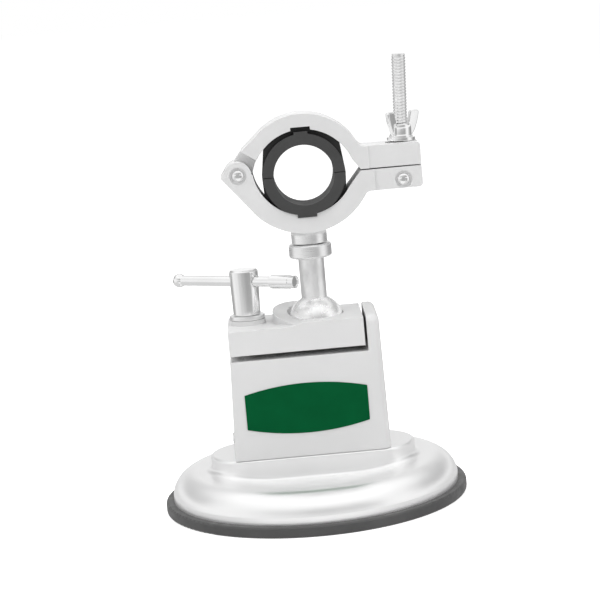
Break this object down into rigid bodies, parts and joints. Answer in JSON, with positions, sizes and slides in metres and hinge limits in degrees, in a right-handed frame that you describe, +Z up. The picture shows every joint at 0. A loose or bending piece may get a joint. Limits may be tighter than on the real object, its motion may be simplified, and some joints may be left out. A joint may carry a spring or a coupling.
{
  "type": "suction base vise with ring clamp",
  "caption": "Bench vise on a rubber suction base with a lever, a ball joint locked by a hinged cap and screw, and a split ring clamp with insert, swing bolt and wing nut.",
  "frame": {"origin": "centre of the rubber pad's underside, on the surface the vise stands on", "axes": "+Z up, -Y towards the side with the label, +X towards the swing bolt"},
  "size_m": [0.13, 0.13, 0.1874],
  "materials": {
    "pad_rubber": "smooth, slightly glossy",
    "cast_aluminium": "satin",
    "body_paint": "satin",
    "label": "satin",
    "polished_steel": "polished",
    "collar_metal": "satin",
    "ring_metal": "matt, bead-blasted",
    "insert_plastic": "matt",
    "bolt_steel": "threaded",
    "grip_plastic": "matt",
    "cup_plastic": "smooth"
  },
  "bodies": {
    "base": {"suction_pad": "pad_rubber", "base_cover": "cast_aluminium", "base_screws": "polished_steel", "vise_body": "body_paint", "label_plate": "label", "release_spring": "polished_steel", "cap_hinge_pin": "polished_steel"},
    "lever": {"cam_shaft": "polished_steel", "shaft_clip": "polished_steel", "lever_arm": "polished_steel", "lever_grip": "grip_plastic", "lever_screw": "polished_steel"},
    "stud": {"pull_stud": "polished_steel"},
    "screw_washer": {"clamp_washer": "polished_steel"},
    "screw": {"clamp_screw": "polished_steel"},
    "bar": {"t_bar": "polished_steel", "t_bar_cap": "polished_steel"},
    "cap": {"clamp_cap": "body_paint"},
    "seat": {"ball_seat": "cup_plastic"},
    "ball": {"ball_stud": "polished_steel"},
    "collar": {"lock_collar": "collar_metal"},
    "lower_ring": {"ring_lower": "ring_metal", "insert_lower": "insert_plastic", "pivot_screws": "polished_steel", "pivot_nuts": "polished_steel"},
    "upper_ring": {"ring_upper": "ring_metal", "insert_upper": "insert_plastic"},
    "bolt": {"swing_bolt": "bolt_steel"},
    "flat_washer": {"nut_washer": "polished_steel"},
    "wing": {"wing_nut": "polished_steel"}
  },
  "joints": [
    {"name": "suction_lever", "type": "hinge", "parent": "base", "child": "lever", "pos_m": [0, 0.0135, 0.034], "axis": [0, 1, 0], "range_deg": [0, 180]},
    {"name": "stud_lift", "type": "slide", "parent": "base", "child": "stud", "axis": [0, 0, 1], "range_m": [-0.003, 0], "deforming": ["release_spring", "suction_pad"]},
    {"name": "screw_advance", "type": "slide", "parent": "base", "child": "screw_washer", "axis": [0, 0, 1], "range_m": [-0.0006111, 0]},
    {"name": "screw_turn", "type": "hinge", "parent": "screw_washer", "child": "screw", "pos_m": [-0.0228, 0, 0.0924], "axis": [0, 0, 1], "range_deg": [-110, 0]},
    {"name": "bar_slide", "type": "slide", "parent": "screw", "child": "bar", "axis": [0.829, -0.5592, 0], "range_m": [-0.007, 0.0247]},
    {"name": "cap_tilt", "type": "hinge", "parent": "base", "child": "cap", "pos_m": [0.0229, 0, 0.0718], "axis": [0, 1, 0], "range_deg": [-0.76617, 0]},
    {"name": "ball_pan", "type": "hinge", "parent": "base", "child": "seat", "pos_m": [0.0064, 0, 0.0766], "axis": [0, 0, 1], "continuous": true},
    {"name": "ball_tilt", "type": "hinge", "parent": "seat", "child": "ball", "pos_m": [0.0064, 0, 0.0766], "axis": [1, 0, 0], "range_deg": [-12, 12]},
    {"name": "collar_turn", "type": "hinge", "parent": "ball", "child": "collar", "pos_m": [0.0064, 0, 0.1077], "axis": [0, 0, 1], "continuous": true},
    {"name": "ring_swivel", "type": "hinge", "parent": "ball", "child": "lower_ring", "pos_m": [0.0064, 0, 0.1152], "axis": [0, 0, 1], "continuous": true},
    {"name": "ring_open", "type": "hinge", "parent": "lower_ring", "child": "upper_ring", "pos_m": [-0.0213, 0, 0.1425], "axis": [0, -1, 0], "range_deg": [0, 14]},
    {"name": "bolt_swing", "type": "hinge", "parent": "lower_ring", "child": "bolt", "pos_m": [0.0479, 0, 0.1351], "axis": [0, 1, 0], "range_deg": [0, 70]},
    {"name": "nut_back_off", "type": "slide", "parent": "bolt", "child": "flat_washer", "axis": [0.0454, 0, 0.999], "range_m": [0, 0.0281]},
    {"name": "wing_turn", "type": "hinge", "parent": "flat_washer", "child": "wing", "pos_m": [0.04877, 0, 0.15428], "axis": [0.0454, 0, 0.999], "continuous": true}
  ],
  "couplings": [
    {"joint": "stud_lift", "follows": "suction_lever", "m_per_rad": -0.00095493},
    {"joint": "screw_turn", "follows": "screw_advance", "rad_per_m": 3141.6},
    {"joint": "cap_tilt", "follows": "screw_advance", "rad_per_m": 21.882},
    {"joint": "bolt_swing", "follows": "ring_open", "ratio": 5},
    {"joint": "nut_back_off", "follows": "ring_open", "m_per_rad": 0.115}
  ]
}
